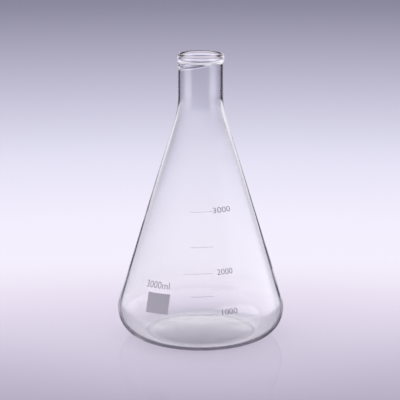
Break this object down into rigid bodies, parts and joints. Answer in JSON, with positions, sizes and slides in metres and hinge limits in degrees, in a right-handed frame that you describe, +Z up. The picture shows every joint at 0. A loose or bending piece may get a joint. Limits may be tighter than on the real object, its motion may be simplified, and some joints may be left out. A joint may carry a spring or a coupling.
{
  "type": "erlenmeyer flask",
  "caption": "Large conical flask of clear glass with a pushed-up base, rounded heel, straight sloping side, cylindrical neck, beaded rim and printed level marks.",
  "frame": {"origin": "on the axis, at the plane of the ring that the base stands on", "axes": "+Z up along the axis to the mouth, -Y towards the side that the print is read from"},
  "size_m": [0.19, 0.19, 0.324],
  "materials": {
    "glass": "clear, smooth, fire polished",
    "enamel": "fired on, satin"
  },
  "bodies": {
    "root": {"flask_body": "glass", "graduation_lines": "enamel", "marking_patch": "enamel"}
  },
  "joints": []
}
